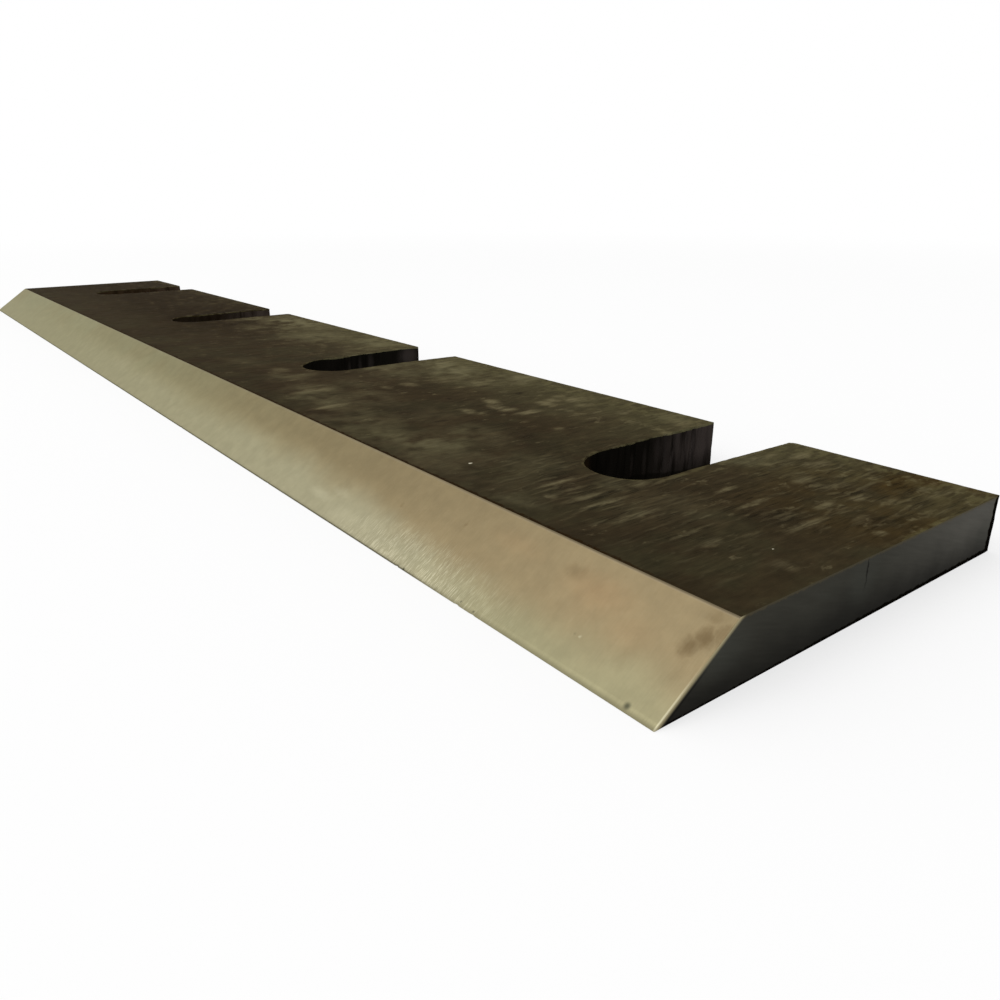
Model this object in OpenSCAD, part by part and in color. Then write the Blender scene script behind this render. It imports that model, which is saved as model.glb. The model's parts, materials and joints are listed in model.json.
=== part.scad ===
// Planer knife: a flat bar of tool steel with one long ground bevel and open slots in its back edge.
// It lies on its flat face. X runs along the knife, the cutting edge faces -Y and the back edge +Y.
// The origin is on the bottom face, midway along the length and midway across the width.

/* [Blade] */
// Length from end face to end face
blade_length = 457; // [360:1:640]
// Width from the cutting edge to the back edge
blade_width = 82; // [70:1:110]
// Thickness of the bar
blade_thickness = 10; // [6:0.5:14]

/* [Cutting edge] */
// How far the ground bevel runs in from the cutting edge
bevel_run = 14; // [8:0.5:22]
// Height of the blunt land that is left at the cutting edge
edge_land = 0.1; // [0.05:0.05:0.5]

/* [Slots] */
// Number of open slots in the back edge
slot_count = 4; // [2:1:5]
// Width of each slot
slot_width = 19.5; // [12:0.5:26]
// Depth of each slot, from the back edge to the deepest point of its round end
slot_depth = 44; // [30:1:52]
// Distance from each end face to the middle of the nearest slot
end_to_slot = 49; // [30:1:70]
// Radius that rounds the two corners of each slot mouth
mouth_radius = 1; // [0.6:0.1:3]

/* [Broken edges] */
// Size of the break along the back edge and round the slots
edge_break = 0.3; // [0.1:0.05:0.5]
// Size of the finer break round the two end faces
end_break = 0.2; // [0.1:0.05:0.5]

/* [Hidden] */
$fn = 64;
// How far a cutting shape reaches past the face that it cuts
overshoot = 1;
slot_radius = slot_width / 2;
// Centre of each slot's round end, measured across the width from the middle
slot_centre_y = blade_width / 2 - slot_depth + slot_radius;
slot_pitch = (blade_length - 2 * end_to_slot) / (slot_count - 1);
// Rise of the bevel for each millimetre that it runs in
bevel_slope = (blade_thickness - edge_land) / bevel_run;
dark_steel = [0.24, 0.21, 0.16];
ground_steel = [0.63, 0.57, 0.44];

// Corners of the end face, from the cutting edge round to the top of the bevel: [across, up]
end_corners = [
    [0, 0],
    [blade_width, 0],
    [blade_width, blade_thickness],
    [bevel_run, blade_thickness],
    [0, edge_land]
];

// Sets a shape that is drawn as [across, up] upright, and extrudes it along the whole knife
module along_knife(extra = 0) {
    translate([-blade_length / 2 - extra, -blade_width / 2, 0])
        rotate([90, 0, 90])
            linear_extrude(blade_length + 2 * extra)
                children();
}

// Flat bar with both arrises of its back edge broken
module flat_bar() {
    along_knife()
        polygon([
            [0, 0],
            [blade_width - edge_break, 0],
            [blade_width, edge_break],
            [blade_width, blade_thickness - edge_break],
            [blade_width - edge_break, blade_thickness],
            [0, blade_thickness]
        ]);
}

// Wedge that grinding takes off: its long side lies in the bevel
module ground_wedge() {
    low = [-overshoot, edge_land - overshoot * bevel_slope];
    high = [bevel_run + overshoot, blade_thickness + overshoot * bevel_slope];
    along_knife(overshoot)
        polygon([low, high, [low[0], high[1]]]);
}

// Square rod laid corner-on along one side of the end face, which breaks that arris
module end_arris(from, to) {
    run = to - from;
    translate([0, from[0] - blade_width / 2, from[1]])
        rotate([atan2(run[1], run[0]), 0, 0])
            translate([0, norm(run) / 2, 0])
                rotate([0, 45, 0])
                    cube([end_break * sqrt(2), norm(run) + 2 * overshoot, end_break * sqrt(2)], center = true);
}

module end_breaks() {
    for (side = [-1, 1])
        translate([side * blade_length / 2, 0, 0])
            for (i = [0 : len(end_corners) - 2])
                end_arris(end_corners[i], end_corners[i + 1]);
}

// Half of a slot's cross-section, [out from the middle, up], flaring at 45 degrees to break both arrises
slot_half_section = [
    [0, -overshoot],
    [slot_radius + edge_break + overshoot, -overshoot],
    [slot_radius, edge_break],
    [slot_radius, blade_thickness - edge_break],
    [slot_radius + edge_break + overshoot, blade_thickness + overshoot],
    [0, blade_thickness + overshoot]
];

// Round post that is left standing at a corner of the mouth, with its arrises broken like the slot's
module mouth_post() {
    rotate_extrude()
        polygon([
            [0, 0],
            [mouth_radius - edge_break, 0],
            [mouth_radius, edge_break],
            [mouth_radius, blade_thickness - edge_break],
            [mouth_radius - edge_break, blade_thickness],
            [0, blade_thickness]
        ]);
}

// Corner of the mouth: a block less the round post that stays
module mouth_corner() {
    translate([slot_radius, blade_width / 2 - mouth_radius, 0])
        difference() {
            translate([-overshoot, 0, -overshoot])
                cube([mouth_radius + overshoot, mouth_radius + overshoot, blade_thickness + 2 * overshoot]);
            translate([mouth_radius, 0, 0])
                mouth_post();
        }
}

// One open slot: a half-round end, a straight run out through the back edge and a rounded mouth.
// The same broken arris follows the whole way round, and on along the back edge
module slot() {
    straight = blade_width / 2 - slot_centre_y + overshoot;
    translate([0, slot_centre_y, 0]) {
        rotate([0, 0, 180])
            rotate_extrude(angle = 180)
                polygon(slot_half_section);
        translate([0, straight, 0])
            rotate([90, 0, 0])
                linear_extrude(straight) {
                    polygon(slot_half_section);
                    mirror([1, 0])
                        polygon(slot_half_section);
                }
    }
    mouth_corner();
    mirror([1, 0, 0])
        mouth_corner();
}

module knife() {
    difference() {
        color(dark_steel)
            flat_bar();
        color(ground_steel)
            ground_wedge();
        color(ground_steel)
            end_breaks();
        color(dark_steel)
            for (i = [0 : slot_count - 1])
                translate([end_to_slot + i * slot_pitch - blade_length / 2, 0, 0])
                    slot();
    }
}

knife();
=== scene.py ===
import json
import math

import bpy
import numpy as np
from mathutils import Matrix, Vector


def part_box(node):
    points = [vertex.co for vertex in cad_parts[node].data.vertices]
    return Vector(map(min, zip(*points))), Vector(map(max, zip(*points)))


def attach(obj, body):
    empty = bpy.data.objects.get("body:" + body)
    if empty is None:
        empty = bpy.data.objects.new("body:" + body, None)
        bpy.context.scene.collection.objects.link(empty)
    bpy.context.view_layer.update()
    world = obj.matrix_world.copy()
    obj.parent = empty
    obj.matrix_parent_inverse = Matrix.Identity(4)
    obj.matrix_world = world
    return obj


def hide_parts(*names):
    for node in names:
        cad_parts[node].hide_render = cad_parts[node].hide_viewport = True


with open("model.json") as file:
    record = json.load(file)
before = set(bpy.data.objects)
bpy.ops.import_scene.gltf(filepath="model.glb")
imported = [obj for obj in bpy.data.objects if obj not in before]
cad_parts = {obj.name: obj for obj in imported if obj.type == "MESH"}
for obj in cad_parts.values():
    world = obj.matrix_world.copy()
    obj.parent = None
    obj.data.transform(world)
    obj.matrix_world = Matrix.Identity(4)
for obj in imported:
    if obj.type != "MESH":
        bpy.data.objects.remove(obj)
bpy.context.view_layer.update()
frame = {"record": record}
mm = 0.001
print("frame loaded")


# Small helpers that every material uses

def tone(red, green, blue):
    # a colour read off a screen, 0 to 255, made linear
    seen = np.array([red, green, blue]) / 255.0
    linear = np.where(seen <= 0.04045, seen / 12.92, ((seen + 0.055) / 1.055) ** 2.4)
    return (float(linear[0]), float(linear[1]), float(linear[2]), 1.0)


def put(tree, kind, inputs=None, **settings):
    # adds a node; an input that is a socket is linked, any other value is typed in
    made = tree.nodes.new("ShaderNode" + kind)
    for name, value in settings.items():
        setattr(made, name, value)
    for key, value in (inputs or {}).items():
        if isinstance(value, bpy.types.NodeSocket):
            tree.links.new(value, made.inputs[key])
        else:
            made.inputs[key].default_value = value
    return made


def maths(tree, operation, first, second=0.0, third=0.0, clamp=False):
    return put(tree, "Math", {0: first, 1: second, 2: third}, operation=operation, use_clamp=clamp).outputs[0]


def ramp(tree, value, low, high, toLow=0.0, toHigh=1.0):
    # a smooth step from toLow to toHigh as value goes from low to high
    made = put(tree, "MapRange", {"Value": value, "From Min": low, "From Max": high,
                                  "To Min": toLow, "To Max": toHigh}, interpolation_type="SMOOTHSTEP")
    return made.outputs["Result"]


def blendColours(tree, amount, first, second, kind="MIX"):
    made = put(tree, "Mix", {"Factor": amount}, data_type="RGBA", blend_type=kind)
    for socket, value in ((made.inputs[6], first), (made.inputs[7], second)):
        if isinstance(value, bpy.types.NodeSocket):
            tree.links.new(value, socket)
        else:
            socket.default_value = value
    return made.outputs[2]


def startGroup(name, inputs, outputs):
    tree = bpy.data.node_groups.new(name, "ShaderNodeTree")
    for socketName, kind, value in inputs:
        socket = tree.interface.new_socket(socketName, in_out="INPUT", socket_type="NodeSocket" + kind)
        if value is not None:
            socket.default_value = value
    for socketName, kind in outputs:
        tree.interface.new_socket(socketName, in_out="OUTPUT", socket_type="NodeSocket" + kind)
    entry = tree.nodes.new("NodeGroupInput")
    leave = tree.nodes.new("NodeGroupOutput")
    return tree, entry, leave


def useGroup(tree, group, inputs):
    made = tree.nodes.new("ShaderNodeGroup")
    made.node_tree = group
    for key, value in inputs.items():
        if isinstance(value, bpy.types.NodeSocket):
            tree.links.new(value, made.inputs[key])
        else:
            made.inputs[key].default_value = value
    return made


def buildCutLines():
    # Lines that run along the Y of the vector: noise squeezed across X and drawn out along Y and Z.
    # Lines = coarse and fine noise added; Height is the same, centred on 0
    tree, entry, leave = startGroup(
        "cutLines",
        [("Vector", "Vector", None), ("Across", "Float", 0.5), ("Along", "Float", 15.0), ("Depth", "Float", 8.0)],
        [("Lines", "Float"), ("Height", "Float")])
    parts = put(tree, "SeparateXYZ", {0: entry.outputs["Vector"]}).outputs
    across = maths(tree, "DIVIDE", parts[0], entry.outputs["Across"])
    along = maths(tree, "DIVIDE", parts[1], entry.outputs["Along"])
    deep = maths(tree, "DIVIDE", parts[2], entry.outputs["Depth"])
    place = put(tree, "CombineXYZ", {0: across, 1: along, 2: deep}).outputs[0]
    coarse = put(tree, "TexNoise", {"Vector": place, "Scale": 1.0, "Detail": 2.0, "Roughness": 0.6})
    finer = put(tree, "VectorMath", {0: place, 1: (3.1, 1.7, 1.3)}, operation="MULTIPLY").outputs[0]
    fine = put(tree, "TexNoise", {"Vector": finer, "Scale": 1.0, "Detail": 1.0, "Roughness": 0.5})
    both = maths(tree, "ADD", maths(tree, "MULTIPLY", coarse.outputs[0], 0.6),
                 maths(tree, "MULTIPLY", fine.outputs[0], 0.4))
    tree.links.new(both, leave.inputs["Lines"])
    tree.links.new(maths(tree, "SUBTRACT", both, 0.5), leave.inputs["Height"])
    return tree


def buildPatches():
    # Soft-edged patches: noise that is wider along Y, cut off at a level
    tree, entry, leave = startGroup(
        "patches",
        [("Vector", "Vector", None), ("Width", "Float", 4.0), ("Length", "Float", 9.0),
         ("Level", "Float", 0.6), ("Softness", "Float", 0.05), ("Ragged", "Float", 2.0)],
        [("Mask", "Float")])
    parts = put(tree, "SeparateXYZ", {0: entry.outputs["Vector"]}).outputs
    across = maths(tree, "DIVIDE", parts[0], entry.outputs["Width"])
    along = maths(tree, "DIVIDE", parts[1], entry.outputs["Length"])
    place = put(tree, "CombineXYZ", {0: across, 1: along, 2: parts[2]}).outputs[0]
    cloud = put(tree, "TexNoise", {"Vector": place, "Scale": 1.0, "Detail": entry.outputs["Ragged"],
                                   "Roughness": 0.55})
    top = maths(tree, "ADD", entry.outputs["Level"], entry.outputs["Softness"])
    mask = ramp(tree, cloud.outputs[0], entry.outputs["Level"], top)
    tree.links.new(mask, leave.inputs["Mask"])
    return tree


def buildFray():
    # The coordinates, pushed about by noise of the given size and reach, so that marks get uneven edges
    tree, entry, leave = startGroup(
        "fray",
        [("Vector", "Vector", None), ("Size", "Float", 3.0), ("Reach", "Float", 1.0)],
        [("Vector", "Vector")])
    place = put(tree, "VectorMath", {0: entry.outputs["Vector"], 3: 1.0}, operation="SCALE")
    tree.links.new(maths(tree, "DIVIDE", 1.0, entry.outputs["Size"]), place.inputs["Scale"])
    cloud = put(tree, "TexNoise", {"Vector": place.outputs[0], "Scale": 1.0, "Detail": 3.0, "Roughness": 0.6})
    centred = put(tree, "VectorMath", {0: cloud.outputs["Color"], 1: (0.5, 0.5, 0.5)}, operation="SUBTRACT")
    push = put(tree, "VectorMath", {0: centred.outputs[0]}, operation="SCALE")
    tree.links.new(maths(tree, "MULTIPLY", entry.outputs["Reach"], 2.0), push.inputs["Scale"])
    moved = put(tree, "VectorMath", {0: entry.outputs["Vector"], 1: push.outputs[0]}, operation="ADD")
    tree.links.new(moved.outputs[0], leave.inputs["Vector"])
    return tree


def buildSpot():
    # One mark: 1 inside an ellipsoid of the given radii, fading to 0 at its surface
    tree, entry, leave = startGroup(
        "spot",
        [("Vector", "Vector", None), ("Centre", "Vector", (0.0, 0.0, 0.0)), ("Radii", "Vector", (1.0, 1.0, 1.0)),
         ("Softness", "Float", 0.5)],
        [("Mask", "Float")])
    offset = put(tree, "VectorMath", {0: entry.outputs["Vector"], 1: entry.outputs["Centre"]},
                 operation="SUBTRACT").outputs[0]
    scaled = put(tree, "VectorMath", {0: offset, 1: entry.outputs["Radii"]}, operation="DIVIDE").outputs[0]
    reach = put(tree, "VectorMath", {0: scaled}, operation="LENGTH").outputs["Value"]
    inner = maths(tree, "SUBTRACT", 1.0, entry.outputs["Softness"])
    tree.links.new(ramp(tree, reach, inner, 1.0, 1.0, 0.0), leave.inputs["Mask"])
    return tree


def buildSpecks():
    # Small round specks at random: a cell pattern, kept in only a share of its cells
    tree, entry, leave = startGroup(
        "specks",
        [("Vector", "Vector", None), ("Spacing", "Float", 4.0), ("Radius", "Float", 0.06), ("Share", "Float", 0.3)],
        [("Mask", "Float")])
    place = put(tree, "VectorMath", {0: entry.outputs["Vector"], 3: 1.0}, operation="SCALE")
    tree.links.new(maths(tree, "DIVIDE", 1.0, entry.outputs["Spacing"]), place.inputs["Scale"])
    cells = put(tree, "TexVoronoi", {"Vector": place.outputs[0], "Scale": 1.0, "Randomness": 1.0})
    chance = put(tree, "SeparateColor", {0: cells.outputs["Color"]}).outputs[0]
    kept = maths(tree, "LESS_THAN", chance, entry.outputs["Share"])
    half = maths(tree, "MULTIPLY", entry.outputs["Radius"], 0.5)
    disc = ramp(tree, cells.outputs["Distance"], half, entry.outputs["Radius"], 1.0, 0.0)
    tree.links.new(maths(tree, "MULTIPLY", disc, kept), leave.inputs["Mask"])
    return tree


def buildMottle():
    # Uneven shade: Shade = 1 + Contrast x (noise drawn out along Y, centred on 0)
    tree, entry, leave = startGroup(
        "mottle",
        [("Vector", "Vector", None), ("Size", "Float", 4.0), ("Stretch", "Float", 1.5), ("Contrast", "Float", 0.3)],
        [("Shade", "Float"), ("Cloud", "Float")])
    parts = put(tree, "SeparateXYZ", {0: entry.outputs["Vector"]}).outputs
    across = maths(tree, "DIVIDE", parts[0], entry.outputs["Size"])
    along = maths(tree, "DIVIDE", parts[1], maths(tree, "MULTIPLY", entry.outputs["Size"], entry.outputs["Stretch"]))
    deep = maths(tree, "DIVIDE", parts[2], entry.outputs["Size"])
    place = put(tree, "CombineXYZ", {0: across, 1: along, 2: deep}).outputs[0]
    cloud = put(tree, "TexNoise", {"Vector": place, "Scale": 1.0, "Detail": 4.0, "Roughness": 0.62}).outputs[0]
    centred = maths(tree, "SUBTRACT", cloud, 0.5)
    shade = maths(tree, "ADD", 1.0, maths(tree, "MULTIPLY", centred, maths(
        tree, "MULTIPLY", entry.outputs["Contrast"], 2.0)))
    tree.links.new(maths(tree, "MAXIMUM", shade, 0.1), leave.inputs["Shade"])
    tree.links.new(cloud, leave.inputs["Cloud"])
    return tree


groups = {"lines": buildCutLines(), "patches": buildPatches(), "fray": buildFray(), "spot": buildSpot(),
          "specks": buildSpecks(), "mottle": buildMottle()}
print("shared node groups built")


# Camera, fitted to the photograph's straight edges

cameraSettings = {
    "fromNearTip": (52.06 * mm, -61.63 * mm, 57.22 * mm),   # from the cutting edge's near end
    "azimuth": 52.54,
    "elevation": 20.35,
    "roll": -0.22,
    "lens": 29.98,
}


def makeCamera(settings):
    low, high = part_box("knife")
    camera = bpy.data.objects.new("camera", bpy.data.cameras.new("camera"))
    bpy.context.collection.objects.link(camera)
    camera.data.lens = settings["lens"]
    camera.data.sensor_width = 36.0
    camera.data.clip_start = 0.005
    turn = Matrix.Rotation(math.radians(settings["azimuth"]), 4, "Z")
    turn = turn @ Matrix.Rotation(math.radians(90 - settings["elevation"]), 4, "X")
    turn = turn @ Matrix.Rotation(math.radians(settings["roll"]), 4, "Z")
    camera.rotation_euler = turn.to_euler()
    step = settings["fromNearTip"]
    camera.location = (high[0] + step[0], low[1] + step[1], low[2] + step[2])
    bpy.context.scene.camera = camera


makeCamera(cameraSettings)
print("camera placed")


# Studio: pale floor, white surroundings, soft lamps

studio = {
    "floorSize": 12.0,
    "floorColour": (0.95, 0.95, 0.95, 1.0),
    "floorGlow": (0.6, 1.0),      # share of the floor's whiteness that no shadow touches: at the knife, far off
    "glowReach": (0.35, 1.1),     # metres from the middle between which that share grows
    "roomLight": 0.9,             # world strength for everything but the background
    "lamps": [
        # name, place, size, watts; each one looks at the knife's middle
        ("keyLamp", (-0.5, -1.2, 1.4), 1.2, 5.0),
        ("fillLamp", (1.3, 0.2, 1.0), 1.0, 1.5),
    ],
}


def seenDirectly(tree):
    # 1 for rays from the camera, and for those that a mirror or a glass passes on
    path = put(tree, "LightPath")
    total = maths(tree, "ADD", path.outputs["Is Camera Ray"], path.outputs["Is Glossy Ray"])
    return maths(tree, "ADD", total, path.outputs["Is Transmission Ray"], clamp=True)


def makeStudio(settings):
    half = settings["floorSize"] / 2
    corners = [(-half, -half, 0), (half, -half, 0), (half, half, 0), (-half, half, 0)]
    mesh = bpy.data.meshes.new("floor")
    mesh.from_pydata(corners, [], [(0, 1, 2, 3)])
    floor = bpy.data.objects.new("floor", mesh)
    bpy.context.collection.objects.link(floor)
    material = bpy.data.materials.new("paleFloor")
    material.use_nodes = True
    tree = material.node_tree
    tree.nodes.clear()
    paint = put(tree, "BsdfDiffuse", {"Color": settings["floorColour"]})
    glow = put(tree, "Emission", {"Color": (1, 1, 1, 1), "Strength": 1.0})
    middle = put(tree, "VectorMath", {0: put(tree, "TexCoord").outputs["Object"]}, operation="LENGTH")
    glowNear, glowFar = settings["floorGlow"]
    reachNear, reachFar = settings["glowReach"]
    growing = ramp(tree, middle.outputs["Value"], reachNear, reachFar, glowNear, glowFar)
    share = maths(tree, "MULTIPLY", seenDirectly(tree), growing)
    mixed = put(tree, "MixShader", {0: share, 1: paint.outputs[0], 2: glow.outputs[0]})
    leave = put(tree, "OutputMaterial")
    tree.links.new(mixed.outputs[0], leave.inputs["Surface"])
    mesh.materials.append(material)

    world = bpy.data.worlds.new("studio")
    bpy.context.scene.world = world
    world.use_nodes = True
    tree = world.node_tree
    tree.nodes.clear()
    strength = ramp(tree, seenDirectly(tree), 0.0, 1.0, settings["roomLight"], 1.0)
    shell = put(tree, "Background", {"Color": (1, 1, 1, 1), "Strength": strength})
    leave = put(tree, "OutputWorld")
    tree.links.new(shell.outputs[0], leave.inputs["Surface"])

    for name, place, size, watts in settings["lamps"]:
        lamp = bpy.data.lights.new(name, "AREA")
        lamp.shape = "DISK"
        lamp.size = size
        lamp.energy = watts
        lampObject = bpy.data.objects.new(name, lamp)
        bpy.context.collection.objects.link(lampObject)
        lampObject.location = place
        aim = -lampObject.location
        lampObject.rotation_euler = aim.to_track_quat("-Z", "Y").to_euler()
    bpy.context.scene.view_settings.view_transform = "Standard"


makeStudio(studio)
print("studio lit")


# Knife body: one wall carried round the outline, closed by the two flats

knifeShape = {
    "bevelRun": 14.0,
    "edgeLand": 0.12,
    "slotRadius": 9.75,
    "mouthRadii": (1.2, 0.25),    # the corners of each slot's mouth: on the +X side, on the -X side
    "tipRadius": 0.12,            # upright corners at the two cutting tips
    "backRadius": 0.12,           # upright corners at the two back corners
    "arris": 0.1,                 # usual break between a wall and a flat
    "endArris": 0.05,
    "bevelArris": 0.05,           # the bevel meets the flat almost sharp
    "meltedArris": (0.15, 0.4),   # height of the break along the slots: least, and how much its waves add
    # how far the +X wall of each slot stands in past the round end, and how far it flares out at the mouth
    "bows": [(0.3, 0.0), (0.3, 0.0), (0.2, 1.3), (1.05, 0.0)],
    "frontStep": 0.4,
    "wallStep": 0.5,
    "slotStep": 0.3,
    "wallRows": 15,
    "dragDepth": 0.34,            # deepest drag line in the slot walls
    "dragLag": 1.6,               # how far a drag line trails at the bottom
    "gouges": [(28, 0.35), (25.4, 0.4), (21.2, 0.55), (17.2, 0.7), (14.4, 0.35), (34.4, 0.3)],   # y, half width
    "gougeDepth": 0.32,
    "roughBack": 0.07,            # unevenness of the cut back edge
    "raggedBand": 0.6,            # torn strip on each end face next to the back edge
    "nicks": [(172.4, 0.25, 0.16), (189.4, 0.3, 0.2), (193.4, 0.25, 0.16), (120.0, 0.3, 0.12),
              (64.0, 0.35, 0.15), (-40.0, 0.3, 0.12), (-131.0, 0.4, 0.16)],   # along, half width, depth
}
wallKinds = {"bevel": 0, "end": 1, "cut": 2, "torn": 3}


def straightRun(start, end, step, kind, lean=(0.0, 0.0)):
    # points = start + t (end - start); the outward side is to the right of the way along
    start, end = np.array(start, float), np.array(end, float)
    way = end - start
    count = max(2, int(math.ceil(np.hypot(*way) / step)))
    t = np.arange(count) / count
    unit = way / np.hypot(*way)
    return {
        "place": start + t[:, None] * way,
        "normal": np.tile([unit[1], -unit[0]], (count, 1)),
        "lean": lean[0] + t * (lean[1] - lean[0]),
        "kind": np.full(count, wallKinds[kind]),
    }


def roundRun(centre, radius, fromAngle, toAngle, step, kind, lean=0.0):
    # points = centre + radius (cos a, sin a); a falling angle makes the hollow end of a slot
    sweep = math.radians(toAngle - fromAngle)
    count = max(5, int(math.ceil(abs(sweep) * radius / step)))
    a = math.radians(fromAngle) + np.arange(count) / count * sweep
    arm = np.stack([np.cos(a), np.sin(a)], 1)
    return {
        "place": np.array(centre, float) + radius * arm,
        "normal": arm * math.copysign(1.0, sweep),
        "lean": np.full(count, lean),
        "kind": np.full(count, wallKinds[kind]),
    }


def knifeOutline(shape, low, high, slotCentres):
    # the plan outline at the bottom face, run counter-clockwise from the far cutting tip
    x0, y0, x1, y1 = low[0], low[1], high[0], high[1]
    tip, back, radius = shape["tipRadius"], shape["backRadius"], shape["slotRadius"]
    mouthRight, mouthLeft = shape["mouthRadii"]
    wall, band = shape["wallStep"], shape["raggedBand"]
    full = (y1 - back) - (y0 + tip)
    bandShare = band / full
    runs = [
        straightRun((x0 + tip, y0), (x1 - tip, y0), shape["frontStep"], "bevel", (1, 1)),
        roundRun((x1 - tip, y0 + tip), tip, -90, 0, 0.1, "bevel", 1),
        straightRun((x1, y0 + tip), (x1, y1 - back - band), wall, "end", (1, bandShare)),
        straightRun((x1, y1 - back - band), (x1, y1 - back), 0.1, "torn", (bandShare, 0)),
        roundRun((x1 - back, y1 - back), back, 0, 90, 0.1, "torn"),
    ]
    reach = x1 - back
    for centre in sorted(slotCentres, reverse=True):
        cx, cy = centre
        right, left = cx + radius, cx - radius
        runs += [
            straightRun((reach, y1), (right + mouthRight, y1), wall, "cut"),
            roundRun((right + mouthRight, y1 - mouthRight), mouthRight, 90, 180, 0.2, "cut"),
            straightRun((right, y1 - mouthRight), (right, cy), shape["slotStep"], "cut"),
            roundRun((cx, cy), radius, 0, -180, shape["slotStep"], "cut"),
            straightRun((left, cy), (left, y1 - mouthLeft), shape["slotStep"], "cut"),
            roundRun((left - mouthLeft, y1 - mouthLeft), mouthLeft, 0, 90, 0.15, "cut"),
        ]
        reach = left - mouthLeft
    runs += [
        straightRun((reach, y1), (x0 + back, y1), wall, "cut"),
        roundRun((x0 + back, y1 - back), back, 90, 180, 0.1, "torn"),
        straightRun((x0, y1 - back), (x0, y1 - back - band), 0.1, "torn", (0, bandShare)),
        straightRun((x0, y1 - back - band), (x0, y0 + tip), wall, "end", (bandShare, 1)),
        roundRun((x0 + tip, y0 + tip), tip, 180, 270, 0.1, "bevel", 1),
    ]
    return {key: np.concatenate([run[key] for run in runs]) for key in runs[0]}


def waves(along, spacing, seed):
    # smooth random curve: random heights every `spacing`, joined by cosine steps
    rng = np.random.default_rng(seed)
    heights = rng.uniform(-1, 1, 4096)
    at = along / spacing + 2000.0
    cell = np.floor(at).astype(int)
    part = (1 - np.cos(math.pi * (at - cell))) / 2
    return heights[cell % 4096] * (1 - part) + heights[(cell + 1) % 4096] * part


def dragLines(along, height, thick, shape):
    # grooves = narrow valleys of a random curve, trailing along the wall as the square of the way down
    trailed = along + shape["dragLag"] * (1 - height / thick) ** 2
    broad = waves(trailed, 2.6, 11)
    narrow = waves(trailed, 1.1, 12)
    hair = waves(trailed, 0.45, 13)
    gash = np.clip(1 - np.abs(narrow) * 3.2, 0, 1) ** 1.5
    strength = np.clip(0.55 + 0.6 * waves(along, 6.0, 14), 0, 1)
    fade = np.clip(0.35 + 0.75 * height / thick, 0, 1)
    return shape["dragDepth"] * (0.14 * broad + 0.6 * gash * strength * fade + 0.06 * hair)


def gouge(place, height, thick, shape):
    # a few deeper grooves = bell curves at given places across the width, on the -X walls; they trail too
    depth = 0.0
    for at, halfWidth in shape["gouges"]:
        offset = place[:, 1, None] - at + 0.8 * (1 - height / thick) ** 2
        depth = depth + np.exp(-(offset / halfWidth) ** 2)
    return shape["gougeDepth"] * depth


def bowed(place, shape, slotCentres, backEdge):
    # how far the +X wall of a slot moves out: less than nothing just past the round end, where it rises
    # by a smooth step and falls again to a third at the mouth; the flare grows with the square of the way out
    centres = np.array(sorted(slotCentres))
    nearest = np.abs(place[:, 0, None] - centres[None, :, 0]).argmin(axis=1)
    inward, flare = np.array(shape["bows"])[nearest].T
    bottom = centres[0, 1] - shape["slotRadius"]
    t = np.clip((place[:, 1] - bottom) / (backEdge - bottom), 0, 1)
    rise, fall = np.clip(t / 0.2, 0, 1), np.clip((t - 0.4) / 0.6, 0, 1)
    rise, fall = rise * rise * (3 - 2 * rise), fall * fall * (3 - 2 * fall)
    return flare * np.clip(t * 2 - 1, 0, 1) ** 2 - inward * rise * (1 - 0.65 * fall)


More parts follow.
